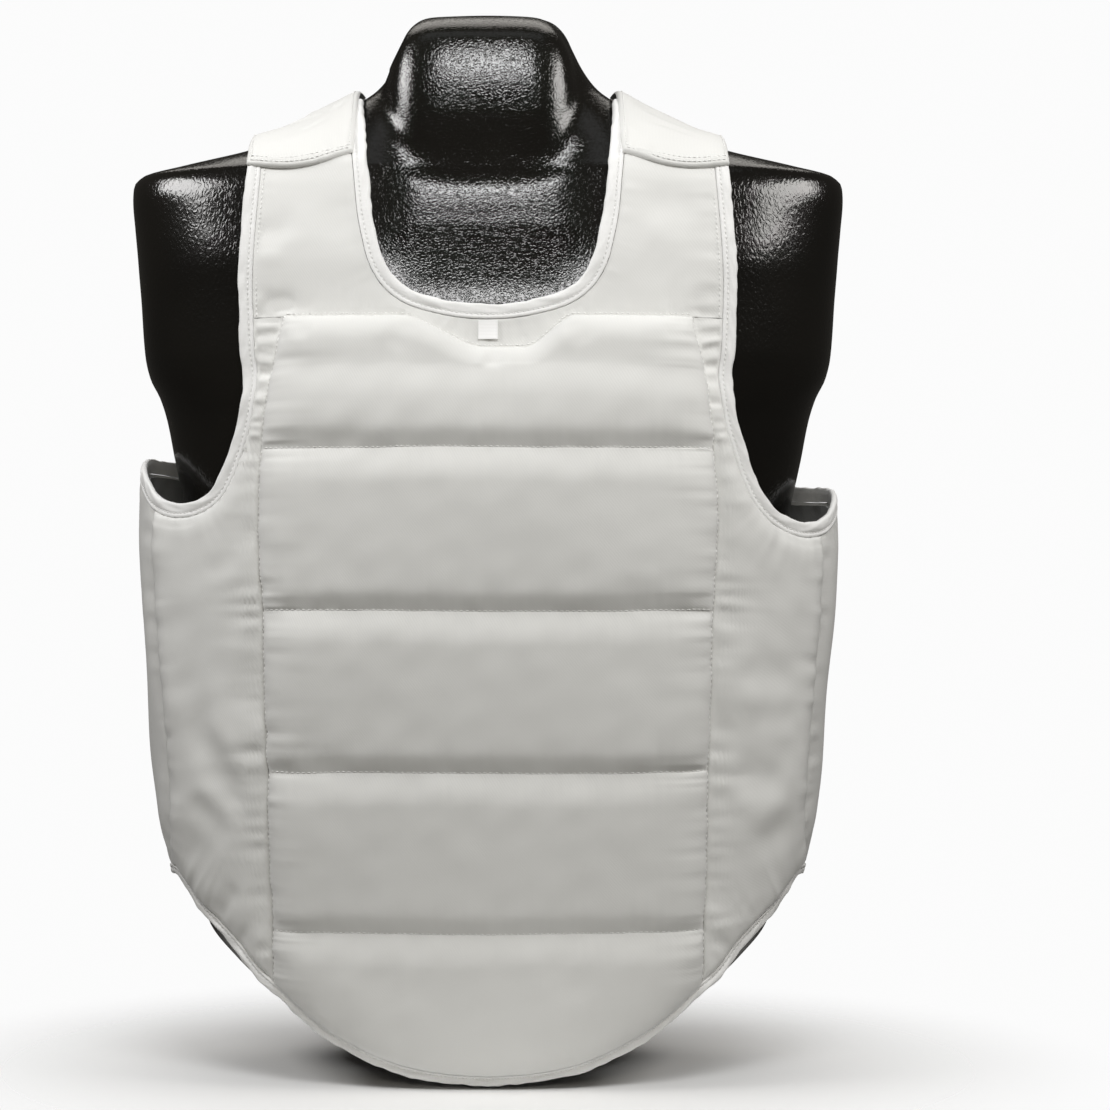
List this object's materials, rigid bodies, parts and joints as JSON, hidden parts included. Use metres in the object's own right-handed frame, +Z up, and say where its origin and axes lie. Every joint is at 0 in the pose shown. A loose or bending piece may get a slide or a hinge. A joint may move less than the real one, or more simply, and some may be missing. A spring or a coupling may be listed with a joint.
{
  "type": "padded karate chest protector on a limbless torso display form",
  "caption": "Sleeveless padded martial-arts chest protector with a quilted front and shoulder flaps, worn on a limbless torso form that stands on its flat base.",
  "frame": {"origin": "centre of the torso form's flat base, on the surface it stands on", "axes": "+Z up; the chest faces -Y; the wearer's left side is +X"},
  "size_m": [0.461, 0.2662, 0.681],
  "materials": {
    "form_plastic": "black moulded plastic with a leather grain and a soft gloss",
    "cover_cloth": "white fine-woven synthetic cover cloth over foam",
    "binding_tape": "bright white folded binding tape",
    "lining_cloth": "grey lining cloth",
    "label_cloth": "smooth white woven label, left bare"
  },
  "bodies": {
    "root": {"torso_form": "form_plastic", "pad_panel": "cover_cloth", "front_yoke": "cover_cloth", "side_panel_left": "cover_cloth", "side_panel_right": "cover_cloth", "back_panel": "cover_cloth", "shoulder_flap_left": "cover_cloth", "shoulder_flap_right": "cover_cloth", "neck_binding_front": "binding_tape", "neck_binding_back": "binding_tape", "armhole_binding_left": "binding_tape", "armhole_binding_right": "binding_tape", "hem_binding_front": "binding_tape", "hem_binding_back": "binding_tape", "side_lining_left": "lining_cloth", "side_lining_right": "lining_cloth", "size_label": "label_cloth"}
  },
  "joints": []
}
